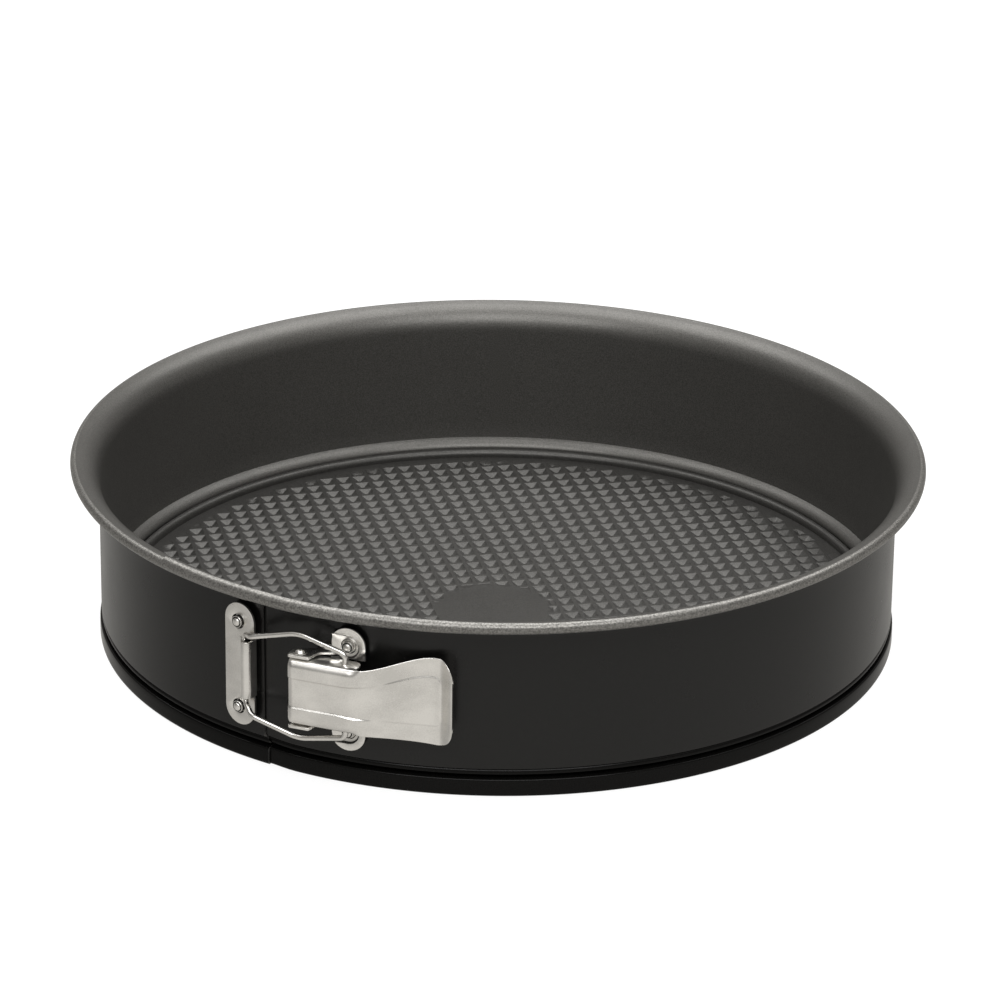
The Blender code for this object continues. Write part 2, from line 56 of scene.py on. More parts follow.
# Sizes of the band's section, in millimetres
WALL = 140.0  # inside radius
SHEET = 0.5
TOP = 66.6
FLARE_RADIUS = 9.5
BEAD_RADIUS = 2.0
BEAD_SETBACK = 1.35  # from the flare's middle in to the bead's
WRAP_GROWTH = 0.32  # of the bead's radius, over the other end's bead
LAYER_SHIFT = 0.85  # inwards, of the layer that lies inside the other at the seam
LAYER_RISE = 0.35  # of the shift, on the flare
FLARE_START = (57, 65)  # heights between which the shift turns upwards
CUT_TOP = 58  # height of the tongue where the rim's wrap has ended
SHOULDER_RADIUS = 1.6  # of the turn from the neck to the slope that rises to the wall
NECK = 136.5  # inside radius
LIP = 137.5  # radius of the edge that is turned in under the base

# Azimuths where the band's pieces meet or end, in degrees
SEAM = -33.3
LEFT_JOINT = -147.5
BACK_JOINT = 137.5
RIGHT_JOINT = 62.5
TONGUE_END = -50
RIM_TONGUE_END = -48.1
WRAP_END = (-28, 8)  # between these the bead gets its plain thickness back
STATION_STEP = 0.5
FLARE_COUNT = 12  # points on the flare's arc
WALL_COUNT = 13  # points on the outer face above the groove's ring

BUCKLE_MIDDLE = 35.3
CATCH_AZIMUTH = -36.6
LEVER_AZIMUTH = -21
SIDES = (("upper", 1), ("lower", -1))
ROUND = 32  # points round a rivet head or the pin


# Helpers


def link(name, data):
    """A new object in the scene."""
    obj = bpy.data.objects.new(name, data)
    bpy.context.scene.collection.objects.link(obj)
    return obj


def mesh_object(name, points, faces, sharp=35, finishes=None):
    """A mesh object from points in millimetres. Edges sharper than an angle in degrees stay sharp.

    finishes holds the material index of each face.
    """
    mesh = bpy.data.meshes.new(name)
    mesh.from_pydata([tuple(point) for point in np.asarray(points, float) * MM], [], faces)
    if finishes:
        mesh.polygons.foreach_set("material_index", finishes)
    bm = bmesh.new()
    bm.from_mesh(mesh)
    bmesh.ops.delete(bm, geom=[v for v in bm.verts if not v.link_faces], context="VERTS")
    bmesh.ops.triangulate(bm, faces=[f for f in bm.faces if len(f.verts) > 4])
    bmesh.ops.recalc_face_normals(bm, faces=bm.faces)
    bm.to_mesh(mesh)
    bm.free()
    mesh.shade_smooth()
    mesh.set_sharp_from_angle(angle=math.radians(sharp))
    return link(name, mesh)


def across_middle(sign, near, far):
    """The lower and the upper of two heights above the buckle's middle, or below it if sign is -1."""
    return sorted((BUCKLE_MIDDLE + sign * near, BUCKLE_MIDDLE + sign * far))


def finish_piece(obj, finishes, body):
    """Gives a piece its finishes and the body it rides on."""
    for finish in finishes:
        obj.data.materials.append(finish)
    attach(obj, body)


def place(obj, azimuth):
    """Turns a piece drawn in a buckle frame (X along the wall, -Y out of it) to its azimuth."""
    obj.data.transform(Matrix.Rotation(math.radians(azimuth), 4, "Z"))
    return obj


def ease(x, start, end):
    """0 before start, 1 after end, and a smooth rise between them."""
    t = np.clip((x - start) / (end - start), 0, 1)
    return t * t * (3 - 2 * t)


def rounded(gap, radius):
    """How far a surface has fallen at a distance from its rounded edge."""
    sunk = np.clip(radius - gap, 0, radius)
    return radius - np.sqrt(radius**2 - sunk**2)


def arc(centre, radius, first, last, count):
    """Points on an arc in a plane, with its angles in degrees from the first axis."""
    angles = np.radians(np.linspace(first, last, count))
    return [(centre[0] + radius * math.cos(a), centre[1] + radius * math.sin(a)) for a in angles]


def open_edges(faces):
    """The edges that only one face has, each in that face's direction."""
    edges = dict.fromkeys(pair for face in faces for pair in zip(face, face[1:] + face[:1]))
    return [(a, b) for a, b in edges if (b, a) not in edges]


def ring_faces(rows, count):
    """Quads between rings of points that follow each other, and a face over each end."""
    faces = []
    for row in range(rows - 1):
        first = row * count
        for k in range(count):
            m = (k + 1) % count
            faces.append((first + k, first + m, first + count + m, first + count + k))
    faces.append(tuple(range(count)))
    faces.append(tuple(range((rows - 1) * count, rows * count)))
    return faces


def sheet_faces(rows, width):
    """Faces of a sheet whose front and back are grids of points, with the back after the front."""
    faces, back = [], rows * width
    for row in range(rows - 1):
        for k in range(width - 1):
            a = row * width + k
            faces.append((a, a + width, a + width + 1, a + 1))
            faces.append((back + a, back + a + 1, back + a + width + 1, back + a + width))
        for k in (0, width - 1):
            a = row * width + k
            faces.append((a, a + width, back + a + width, back + a))
    for row in (0, rows - 1):
        for k in range(width - 1):
            a = row * width + k
            faces.append((a, a + 1, back + a + 1, back + a))
    return faces


# The band


def bead_growth(azimuth):
    """How much thicker the bead is where the band's inner end wraps over its outer end."""
    return WRAP_GROWTH * (1 - ease(azimuth, *WRAP_END))


def rim_points(offset, growth):
    """The rim from the top of the wall to the end of the curl, offset from the sheet's middle."""
    middle = WALL + SHEET / 2
    flare = (middle + FLARE_RADIUS, TOP - SHEET / 2 - FLARE_RADIUS)
    bead = (flare[0] - BEAD_SETBACK, TOP - BEAD_RADIUS)
    curl = BEAD_RADIUS - SHEET / 2 + growth
    flared = arc(flare, FLARE_RADIUS + offset, 180, 99, FLARE_COUNT)
    rolled = arc((bead[0], bead[1] + 0.6 * growth), curl + offset, 88, -165, 26)
    return flared + rolled


def inner_side():
    """The band's inner face, up from the edge of the lip under the base to the top of the wall."""
    return (
        [(LIP, 0.5), (139.4, 0.5)]
        + arc((139.6, 1.3), 0.8, -75, -5, 4)
        + [(140.4, 2.2), (140.4, 4.4)]
        + arc((139.4, 4.5), 1, 10, 80, 4)
        + [(138.4, 5.7), (137.2, 6.1)]
        + arc((136.9, 6.9), 0.8, 250, 190, 4)
        + [(136.3, 7.3), (NECK + 0.3, 7.75), (NECK + 1.1, 8.2), (NECK + 1.1, 9.5), (NECK, 10.3)]
        + arc((NECK + SHOULDER_RADIUS, 10.6), SHOULDER_RADIUS, 170, 146, 3)
        + arc((143.7, 5.87), 9, 138.5, 116, 6)
        + arc((139.7, 14.0), 0.3, -60, -5, 4)
        + [(WALL, 20), (WALL, 30), (WALL, 40), (WALL, 50)]
    )


def outer_side():
    """The band's outer face, down from the top of the wall to the edge of the foot."""
    wall = WALL + SHEET
    return (
        [(wall, 50), (wall, 40), (wall, 30), (wall, 20), (wall, 14), (wall, 10.4)]
        + arc((wall - 0.35, 10.1), 0.35, 10, -70, 4)
        + [(139.7, 9.66)]
        + arc((139.2, 8.5), 1.25, 66, -30, 9)
        + [(139.6, 7.55), (138, 7.5)]
        + arc((137.6, 7.1), 0.5, 110, 250, 5)
        + [(138.6, 6.45), (139.8, 6.3)]
        + arc((140.35, 5.6), 0.7, 95, 5, 6)
        + [(141.07, 4), (141.07, 2)]
        + arc((140.1, 0.97), 0.97, 0, -88, 6)
        + [(139, 0), (LIP, 0)]
    )


def band_section(growth):
    """The closed section of the band: up its inner face, over the rim, down its outer face."""
    over = rim_points(SHEET / 2, growth)
    under = rim_points(-SHEET / 2, growth)[::-1]
    return inner_side() + over + under + outer_side()


SECTION = np.array(band_section(0))
INNER_COUNT = len(inner_side())
RIM_COUNT = len(rim_points(0, 0))
TONGUE_FIRST = INNER_COUNT - 5  # the lowest point of the tongue on the inner face
TONGUE_LAST = INNER_COUNT + 2 * RIM_COUNT + 4  # and on the outer face
# FOOT is that shaded copy of the outside paint.
# RIM is a lighter copy of the inside coating that paints the bead's highlight.
INSIDE, RIM, OUTSIDE, FOOT = range(4)  # the band's finishes


def finish_at(i):
    """The finish of the section's face that starts at a point."""
    if i < INNER_COUNT + FLARE_COUNT:
        return INSIDE
    if i < INNER_COUNT + 2 * RIM_COUNT - FLARE_COUNT:
        return RIM
    if i < INNER_COUNT + 2 * RIM_COUNT + WALL_COUNT:
        return OUTSIDE
    return FOOT


def layer_shift(azimuth):
    """How far the inner layer stands inside the outer one near the seam."""
    return LAYER_SHIFT * (1 - ease(azimuth, SEAM + 0.3, SEAM + 5.5))


def shifted(section, shift):
    """The section moved inwards, and on the flare upwards, so that this layer lies over the other."""
    points = section.copy()
    share = ease(points[:, 1], *FLARE_START)
    points[:, 0] -= shift * (1 - share)
    points[:, 1] += LAYER_RISE * shift * share
    return points


def seam_turn(azimuth, heights, toward):
    """The seam isn't one straight cut: below the wall it runs a little further round.

    There the inner layer, whose toward is 1, reaches on behind the outer one.
    """
    low = 1 - ease(heights, 8.9, 10.2)
    near = 1 - ease(abs(azimuth - SEAM), 0, 3)
    reach = 0.6 * low if toward > 0 else 0
    return azimuth + near * (0.85 * low + 0.06 * toward - reach)


def ring_of(azimuth, section, toward):
    """The section's points turned to an azimuth."""
    turns = seam_turn(azimuth, section[:, 1], toward)
    angles = np.radians(turns)
    return np.stack([section[:, 0] * np.sin(angles), -section[:, 0] * np.cos(angles), section[:, 1]], 1)


def stations(first, last):
    """Even azimuths from first to last."""
    count = max(2, round(abs(last - first) / STATION_STEP) + 1)
    return np.linspace(first, last, count)


def loop_faces(offset_a, offset_b, indices):
    """Quads between two rings of points that hold the same indices."""
    steps = zip(indices, indices[1:] + indices[:1])
    return [(offset_a + i, offset_a + j, offset_b + j, offset_b + i) for i, j in steps]


def band_ring(azimuth, tongue):
    """The band's section at an azimuth, as points. tongue is true on the piece that carries it."""
    if not tongue:
        return ring_of(azimuth, SECTION, -1)
    section = shifted(np.array(band_section(bead_growth(azimuth))), layer_shift(azimuth))
    if azimuth < RIM_TONGUE_END + 0.002:  # the rim's wrap ends before the wall's tongue does
        section[:, 1] = np.minimum(section[:, 1], CUT_TOP)
        section[:, 0] = np.minimum(section[:, 0], WALL + SHEET)
    return ring_of(azimuth, section, 1)


def band_piece(name, first, last, tongue):
    """One stretch of the band between two azimuths, as a closed mesh, with the tongue before it."""
    points, faces, finishes = [], [], []
    size = len(SECTION)
    whole = list(range(size))
    upper = list(range(TONGUE_FIRST, TONGUE_LAST + 1))
    lower = list(range(TONGUE_LAST, size)) + list(range(0, TONGUE_FIRST + 1))
    azimuths = [(a, whole) for a in stations(first, last)]
    if tongue:
        azimuths = [(a, upper) for a in stations(TONGUE_END, first)[:-1]] + azimuths
    for azimuth, _ in azimuths:
        points.extend(band_ring(azimuth, tongue))
    for k in range(len(azimuths) - 1):
        used = upper if azimuths[k][1] is upper else whole
        faces += loop_faces(k * size, (k + 1) * size, used)
        finishes += [finish_at(i) for i in used]
    for k, used in ((0, azimuths[0][1]), (len(azimuths) - 1, whole)):
        faces.append(tuple(k * size + i for i in used))
    if tongue:
        joint = len(azimuths) - len(stations(first, last))
        faces.append(tuple(joint * size + i for i in lower))
    finishes += [INSIDE] * (len(faces) - len(finishes))
    return mesh_object(name, points, faces, finishes=finishes)


def build_band(finishes):
    """Four pieces, each between two azimuths, in place of the CAD's arcs."""
    rear = BACK_JOINT - 360
    pieces = (
        ("band_left_front", LEFT_JOINT, SEAM, ("band_front_left",)),
        ("band_left_rear", rear, LEFT_JOINT, ("band_side_left", "band_back")),
        ("band_right_rear", RIGHT_JOINT, BACK_JOINT, ("band_side_right",)),
        ("band_right_front", SEAM, RIGHT_JOINT, ("band_front_right",)),
    )
    for name, first, last, nodes in pieces:
        piece = band_piece(name, first, last, first == SEAM)
        for finish in finishes:
            piece.data.materials.append(finish)
        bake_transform(piece)
        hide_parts(*nodes)


# The base plate

WAFFLE_PITCH = 6.24
WAFFLE_TURN = 13.0  # degrees
WAFFLE_PHASE = (-0.16, 0.11)  # of a pitch
WAFFLE_DEPTH = 1.4
WAFFLE_RADIUS = 130
WAFFLE_CENTRE = (0.8, -1)
RIDGE = 0.105  # half of a ridge's width, as a share of the pitch
WAFFLE_FADE = 2.4  # over which the pits get their depth, in from the edge
MEDALLION = (-1.2, -6.8)
MEDALLION_RADIUS = 20.5
MEDALLION_FADE = 2.2
FLOOR = 8.2
BASE_RIM = 135.65  # outside radius of the base's raised edge
BASE_SHEET = 0.7


def waffle_lines(cells):
    """Grid lines over a row of cells, closer together at the ridges' edges."""
    inside = (-0.5, -0.5 + RIDGE, -0.5 + 1.4 * RIDGE, -0.12, 0, 0.12, 0.5 - 1.4 * RIDGE, 0.5 - RIDGE)
    return np.array([cell + share for cell in range(-cells, cells + 1) for share in inside])


def pit_depth(u, v):
    """The depth of the pits as a share of their full depth, from a place in pitches."""
    reach = np.maximum(abs(u - np.round(u)), abs(v - np.round(v)))
    slope = np.clip((0.5 - RIDGE - reach) / (0.5 - RIDGE), 0, 1)
    return 1 - (1 - slope) ** 1.3


def floor_height(x, y, u, v):
    """The floor's height: pits that fade out at the waffle's round edge and at the plain medallion."""
    edge = WAFFLE_RADIUS - np.hypot(x - WAFFLE_CENTRE[0], y - WAFFLE_CENTRE[1])
    inside = np.clip(edge / WAFFLE_FADE, 0, 1)
    past = np.hypot(x - MEDALLION[0], y - MEDALLION[1]) - MEDALLION_RADIUS
    away = np.clip(past / MEDALLION_FADE, 0, 1)
    return FLOOR - WAFFLE_DEPTH * np.minimum(pit_depth(u, v), np.minimum(inside, away))


def waffle_disc():
    """Points and faces of the waffle floor, and the points round its edge in order."""
    lines = waffle_lines(22)
    u, v = np.meshgrid(lines, lines, indexing="ij")
    turn = math.radians(WAFFLE_TURN)
    du, dv = (u + WAFFLE_PHASE[0]) * WAFFLE_PITCH, (v + WAFFLE_PHASE[1]) * WAFFLE_PITCH
    x = du * math.cos(turn) - dv * math.sin(turn)
    y = du * math.sin(turn) + dv * math.cos(turn)
    z = floor_height(x, y, u, v)
    keep = np.hypot(x, y) < WAFFLE_RADIUS + 0.3
    solid = keep[:-1, :-1] & keep[1:, :-1] & keep[:-1, 1:] & keep[1:, 1:]
    corners = np.zeros(u.shape, bool)
    for i, j in ((0, 0), (1, 0), (0, 1), (1, 1)):
        corners[i : i + solid.shape[0], j : j + solid.shape[1]] |= solid
    number = np.cumsum(corners).reshape(u.shape) - 1
    points = np.stack([x[corners], y[corners], z[corners]], 1)
    faces = []
    for i, j in np.argwhere(solid):
        a, b, c, d = number[i, j], number[i + 1, j], number[i + 1, j + 1], number[i, j + 1]
        middle_u, middle_v = (u[i, j] + u[i + 1, j]) / 2, (v[i, j] + v[i, j + 1]) / 2
        if (middle_u - round(middle_u)) * (middle_v - round(middle_v)) > 0:
            faces += [(a, b, c), (a, c, d)]  # each cell is split along a line to its pit's middle
        else:
            faces += [(a, b, d), (b, c, d)]
    return points, faces, edge_loop(points, faces)


def edge_loop(points, faces):
    """The indices of the points on the mesh's edge, sorted by azimuth."""
    edge = sorted({i for pair in open_edges(faces) for i in pair})
    return sorted(edge, key=lambda i: math.atan2(points[i][1], points[i][0]))


def base_rim_section():
    """The base's top face from the waffle's edge outwards and down to the edge of its flange."""
    return (
        [(130.8, FLOOR), (132, FLOOR), (BASE_RIM - 2.5, FLOOR)]
        + arc((BASE_RIM - 0.45, 8.9), 2.05, 178, 92, 11)
        + arc((BASE_RIM - 0.45, 10.5), 0.45, 75, 0, 5)
        + [(BASE_RIM, 6), (BASE_RIM, 3.2)]
        + arc((BASE_RIM + 1.2, 3.2), 1.2, 180, 270, 5)
        + [(138.1, 2)]
    )


def build_base(finish):
    """The top face as one mesh, with thickness added below by a modifier."""
    points, faces, loop = waffle_disc()
    points = [list(p) for p in points]
    rings = [loop]
    angles = [math.atan2(points[i][1], points[i][0]) for i in loop]
    for i, angle in zip(loop, angles):
        points[i] = [WAFFLE_RADIUS * math.cos(angle), WAFFLE_RADIUS * math.sin(angle), FLOOR]
    for radius, height in base_rim_section():
        first = len(points)
        points += [[radius * math.cos(a), radius * math.sin(a), height] for a in angles]
        rings.append(list(range(first, first + len(angles))))
    for inner, outer in zip(rings, rings[1:]):
        for k in range(len(angles)):
            m = (k + 1) % len(angles)
            faces.append((inner[k], outer[k], outer[m], inner[m]))
    base = mesh_object("base", points, faces, sharp=24)
    if base.data.polygons[0].normal.z < 0:
        base.data.flip_normals()
    sheet = base.modifiers.new("Sheet", "SOLIDIFY")
    sheet.thickness = BASE_SHEET * MM
    sheet.offset = -1
    finish_piece(base, [finish], "base")
    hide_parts("base_plate")


# Stamped buckle pieces

PLATE_LENGTH, PLATE_WIDTH, PLATE_SHEET = 44.3, 12.3, 1
PLATE_EDGE = 0.22  # radius of the plates' front edge
# Faces of a recess's side with at least this rise get the darker steel of painted shade.
STEEP = 0.1  # the least difference in height over a face of a recess's side
RIVET_SPREAD = 15.55
RIVET_HEIGHT = 2.5
RIVET_ROOT = 0.9  # how far a rivet head reaches back behind its foot
DOME_RADIUS, DOME_RISE = 1.45, 0.75
GROOVE_WIDTH, GROOVE_DEPTH = 0.34, 0.45
RING_RADIUS = 2.05


def stadium(left=()):
    """A plate's upright slot-shaped outline about the origin, anticlockwise, as (across, up).

    left holds the points between its two round ends on the left, if there are any.
    """
    radius = PLATE_WIDTH / 2
    straight = PLATE_LENGTH / 2 - radius
    top = arc((0, straight), radius, 0, 180, 17)
    return top + list(left) + arc((0, -straight), radius, 180, 360, 17)


def circle(centre, radius):
    """28 points round a circle."""
    return arc(centre, radius, 0, 360 * 27 / 28, 28)


def fill(loops):
    """Triangles over the first loop, with the others inside it as edges: points and faces."""
    points, edges = [], []
    for loop in loops:
        first = len(points)
        points += [Vector(p) for p in loop]
        edges += [(first + i, first + (i + 1) % len(loop)) for i in range(len(loop))]
    outline = list(range(len(loops[0])))
    made = delaunay_2d_cdt(points, edges, [outline], 1, 0.0001)
    return np.array([tuple(p) for p in made[0]]), [tuple(face) for face in made[2]]


def stamped(name, loops, out_of):
    """A stamped plate: loops are drawn across and up, and out_of gives the front's distance out.

    The first loop is the plate's outline. The front is rounded over towards it. The steep sides of
    its recesses have the second finish, a darker steel that paints in the shade falling there.
    """
    flat, faces = fill(loops)
    outline = np.array(loops[0])
    span = np.roll(outline, -1, 0) - outline
    offset = flat[:, None, :] - outline[None]
    share = np.clip((offset * span).sum(2) / (span**2).sum(1), 0, 1)
    gap = np.sqrt(((offset - share[..., None] * span) ** 2).sum(2)).min(1)
    out = out_of(flat[:, 0], flat[:, 1])
    front = np.stack([flat[:, 0], -(out - rounded(gap, PLATE_EDGE)), flat[:, 1]], 1)
    back = np.stack([flat[:, 0], -(out - PLATE_SHEET), flat[:, 1]], 1)
    count = len(flat)
    sides = [(a, a + count, b + count, b) for a, b in open_edges(faces)]
    turned = [tuple(count + i for i in reversed(face)) for face in faces]
    # The steep faces take the second finish, darker steel that paints the recess's shade.
    steep = [int(np.ptp(out[list(face)]) > STEEP) for face in faces]
    chosen = steep + [0] * (len(turned) + len(sides))
    every_face = faces + turned + sides
    return mesh_object(name, np.concatenate([front, back]), every_face, sharp=50, finishes=chosen)


def dimple(distance, radius, depth, side):
    """The depth of a round recess, at a distance from its middle. side is the width of its steep side."""
    return depth * (1 - ease(distance, radius - side, radius))


def rivet_spots(across):
    """The middle of a plate's upper and lower rivet."""
    return [(across, BUCKLE_MIDDLE + sign * RIVET_SPREAD) for _, sign in SIDES]


def circles(profile):
    """Points round the Z axis for a profile of (radius, height)."""
    angles = np.linspace(0, 2 * math.pi, ROUND, endpoint=False)
    return [(r * math.cos(a), r * math.sin(a), height) for r, height in profile for a in angles]


def rivet_profile():
    """A rivet head from its top out and down: a low dome, a groove and a ring, as (radius, height)."""
    foot = RIVET_HEIGHT - DOME_RISE
    groove = DOME_RADIUS + GROOVE_WIDTH
    dome = [(0, RIVET_HEIGHT)]
    for angle in np.radians(range(15, 91, 15)):
        dome.append((DOME_RADIUS * math.sin(angle), foot + DOME_RISE * math.cos(angle)))
    floor = [(DOME_RADIUS, foot - GROOVE_DEPTH), (groove, foot - GROOVE_DEPTH), (groove, foot - 0.12)]
    ring = [(groove + 0.06, foot), (RING_RADIUS - 0.08, foot), (RING_RADIUS, foot - 0.1)]
    return dome, floor, ring + [(RING_RADIUS, -RIVET_ROOT)]


def rivet_head(name, azimuth, spot, out, finishes, body):
    """A rivet head at (across, up), whose groove has the second finish, a darker steel that paints shade
    into the groove.
    """
    dome, floor, ring = rivet_profile()
    profile = dome + floor + ring
    across, up = spot
    points = [(across, -(out + RIVET_HEIGHT), up)]
    points += [(across + x, -(out + height), up + y) for x, y, height in circles(profile[1:])]
    faces = [(0, 1 + k, 1 + (k + 1) % ROUND) for k in range(ROUND)]
    chosen = [0] * ROUND
    for row in range(1, len(profile) - 1):
        first = 1 + (row - 1) * ROUND
        for k in range(ROUND):
            m = (k + 1) % ROUND
            faces.append((first + k, first + ROUND + k, first + ROUND + m, first + m))
        # The groove's rows take the darker steel: painted shade round the dome.
        painted_shade_row = len(dome) - 1 <= row < len(dome) + len(floor) - 1
        chosen += [int(painted_shade_row)] * ROUND
    last = 1 + (len(profile) - 2) * ROUND
    faces.append(tuple(range(last, last + ROUND)))
    chosen.append(0)
    head = place(mesh_object(name, points, faces, finishes=chosen), azimuth)
    finish_piece(head, finishes, body)


CATCH_FACE = 143.2
CATCH_ACROSS = -0.5
CATCH_DIMPLE = (2.6, 1, 0.4)  # radius, depth and the width of its side
CATCH_CIRCLES = (2.64, 2.52, 2.38, 2.18, 1.2)  # radii of the mesh's circles about a rivet
CATCH_RIVET_SUNK = 0.9  # how far the rivets' feet lie behind the plate's face
CHANNEL_HALF = 10.3
CHANNEL_LEFT, CHANNEL_RIGHT = 0.7, 6.4
CHANNEL_SHEET = 0.85
CHANNEL_EDGE = 0.2


def catch_out(across, up):
    """The catch plate's front: a round recess about each rivet."""
    out = np.full(len(across), CATCH_FACE)
    for x, y in rivet_spots(CATCH_ACROSS):
        out = out - dimple(np.hypot(across - x, up - y), *CATCH_DIMPLE)
    return out


def catch_outline():
    """The plate's outline, cut back to the channel's crease along the channel's length."""
    right = PLATE_WIDTH / 2
    lower = [
        (right, -CHANNEL_HALF - 0.9),
        (right - 0.6, -CHANNEL_HALF - 0.3),
        (CHANNEL_LEFT + 1, -CHANNEL_HALF - 0.3),
        (CHANNEL_LEFT, -CHANNEL_HALF + 0.5),
    ]
    upper = [(x, -y) for x, y in reversed(lower)]
    return [(x, y + BUCKLE_MIDDLE) for x, y in stadium() + lower + upper]


def channel_path():
    """The channel's outer face seen from above: up from the crease, over the wire, back to the wall."""
    return (
        [(CHANNEL_LEFT - 0.6, CATCH_FACE - 0.02), (CHANNEL_LEFT, CATCH_FACE)]
        + [(1.3, CATCH_FACE + 0.45), (2.1, CATCH_FACE + 1.7), (2.9, CATCH_FACE + 2.75)]
        + arc((4.3, 144.6), 2.1, 115, 0, 10)
        + [(CHANNEL_RIGHT, 143.2), (CHANNEL_RIGHT - 0.1, 141.9)]
    )


def smooth_path(points, count):
    """A smooth curve through points, by Catmull-Rom."""
    points = np.array(points, float)
    ends = np.concatenate([[2 * points[0] - points[1]], points, [2 * points[-1] - points[-2]]])
    found = []
    for i in range(1, len(ends) - 2):
        a, b, c, d = ends[i - 1 : i + 3]
        for t in np.linspace(0, 1, count, endpoint=False):
            found.append(
                0.5 * (2 * b + (c - a) * t + (2 * a - 5 * b + 4 * c - d) * t**2)
                + 0.5 * (3 * b - a - 3 * c + d) * t**3
            )
    found.append(points[-1])
    return np.array(found)


def offset_path(path, distance):
    """The path moved to its right-hand side."""
    ahead = np.gradient(path, axis=0)
    ahead /= np.linalg.norm(ahead, axis=1)[:, None]
    return path + distance * np.stack([ahead[:, 1], -ahead[:, 0]], 1)


def swept_sheet(name, path, low, high):
    """A sheet that follows a path seen from above, between two heights, with rounded front edges."""
    inner = offset_path(path, CHANNEL_SHEET)
    edge, straight = CHANNEL_EDGE, high - low - 2 * CHANNEL_EDGE
    levels = [(low, edge), (low + edge * 0.3, edge * 0.3), (low + edge, 0)]
    levels += [(low + edge + straight * i / 6, 0) for i in range(1, 6)]
    levels += [(high - edge, 0), (high - edge * 0.3, edge * 0.3), (high, edge)]
    points = []
    for level, sunk in levels:
        face = path + (inner - path) * (sunk / CHANNEL_SHEET)
        points += [(x, -out, level) for x, out in face]
    for level, _ in levels:
        points += [(x, -out, level) for x, out in inner]
    return mesh_object(name, points, sheet_faces(len(levels), len(path)), sharp=50)


def build_catch(steel, recess):
    """The catch plate, its channel over the wire's leg, and its rivets' heads."""
    body = "band_front_left"
    loops = [catch_outline()]
    for spot in rivet_spots(CATCH_ACROSS):
        loops += [circle(spot, radius) for radius in CATCH_CIRCLES]
    plate = place(stamped("catch_plate_stamping", loops, catch_out), CATCH_AZIMUTH)
    # The plate's recess sides get the darker steel of painted shade.
    finish_piece(plate, (steel, recess), body)
    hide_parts("catch_plate", "catch_rivet_upper", "catch_rivet_lower")
    low, high = BUCKLE_MIDDLE - CHANNEL_HALF, BUCKLE_MIDDLE + CHANNEL_HALF
    channel = swept_sheet("catch_channel", smooth_path(channel_path(), 3), low, high)
    finish_piece(place(channel, CATCH_AZIMUTH), [steel], body)
    for (label, _), spot in zip(SIDES, rivet_spots(CATCH_ACROSS)):
        name = f"catch_rivet_head_{label}"
        rivet_head(name, CATCH_AZIMUTH, spot, CATCH_FACE - CATCH_RIVET_SUNK, (steel, recess), body)


HINGE_FACE = 142.9
HINGE_ACROSS = 2.7
HINGE_DIMPLE = (2.75, 0.35, 0.35)
HINGE_CIRCLES = (2.78, 2.66, 2.54, 2.38, 1.2)
HINGE_RIVET_SUNK = 1.2
RECESS = (4.1, 0.8, 0.5)  # the larger recess about each rivet: radius, depth and side
RECESS_INSETS = (-0.03, 0.12, 0.25, 0.38, 0.53)  # of the mesh's lines along its side
NOTCH_HALF = 11.3  # half the height of the notch behind the lever, on the plate's right
NOTCH_EDGE = -1
EAR_ARM = 4.5  # how far the ears' roots reach past the plate's left edge
EAR_INSIDE, EAR_OUTSIDE = 12.3, 13.3
EAR_FRONT = 151.2
PIVOT = (-12.1, 147.8)
HOOK = (3.9, 147.6)


def hinge_out(across, up):
    """The hinge plate's front: a recess runs from its left edge to a round end about each rivet."""
    out = np.full(len(across), HINGE_FACE)
    for x, y in rivet_spots(HINGE_ACROSS):
        reach = np.maximum(across - x, 0)
        out = out - dimple(np.hypot(reach, up - y), *RECESS)
        out = out - dimple(np.hypot(across - x, up - y), *HINGE_DIMPLE)
    return out


def recess_loop(centre, radius):
    """The edge of a recess that is round on the right and runs straight to the left."""
    left = -PLATE_WIDTH / 2 + 0.25
    turn = arc((0, 0), radius, -90, 90, 15)
    return [(centre[0] + x, centre[1] + y) for x, y in turn + [(left, radius), (left, -radius)]]


def hinge_outline():
    """The plate's outline, with arms for the ears on its left and a notch on its right."""
    half = PLATE_WIDTH / 2
    root = [(-half, EAR_OUTSIDE + 0.8), (-half - 0.5, EAR_OUTSIDE), (-half - EAR_ARM, EAR_OUTSIDE)]
    notch = [(half, -NOTCH_HALF), (NOTCH_EDGE, -NOTCH_HALF), (NOTCH_EDGE, NOTCH_HALF), (half, NOTCH_HALF)]
    outline = stadium(root + [(x, -y) for x, y in reversed(root)]) + notch
    return [(x + HINGE_ACROSS, y + BUCKLE_MIDDLE) for x, y in outline]


def build_hinge(steel, recess):
    """The hinge plate, its two ears, and its rivets' heads."""
    body = "band_front_right"
    loops = [hinge_outline()]
    for spot in rivet_spots(HINGE_ACROSS):
        loops += [recess_loop(spot, RECESS[0] - inset) for inset in RECESS_INSETS]
        loops += [circle(spot, radius) for radius in HINGE_CIRCLES]
    plate = place(stamped("hinge_plate_stamping", loops, hinge_out), LEVER_AZIMUTH)
    # The plate's recess sides get the darker steel of painted shade.
    finish_piece(plate, (steel, recess), body)
    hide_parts("hinge_plate", "hinge_rivet_upper", "hinge_rivet_lower")
    for (label, sign), spot in zip(SIDES, rivet_spots(HINGE_ACROSS)):
        name = f"hinge_rivet_head_{label}"
        rivet_head(name, LEVER_AZIMUTH, spot, HINGE_FACE - HINGE_RIVET_SUNK, (steel, recess), body)
        low, high = across_middle(sign, EAR_INSIDE, EAR_OUTSIDE)
        ear = place(flat_plate(f"hinge_ear_{label}", ear_points(), low, high), LEVER_AZIMUTH)
        finish_piece(ear, [steel], body)


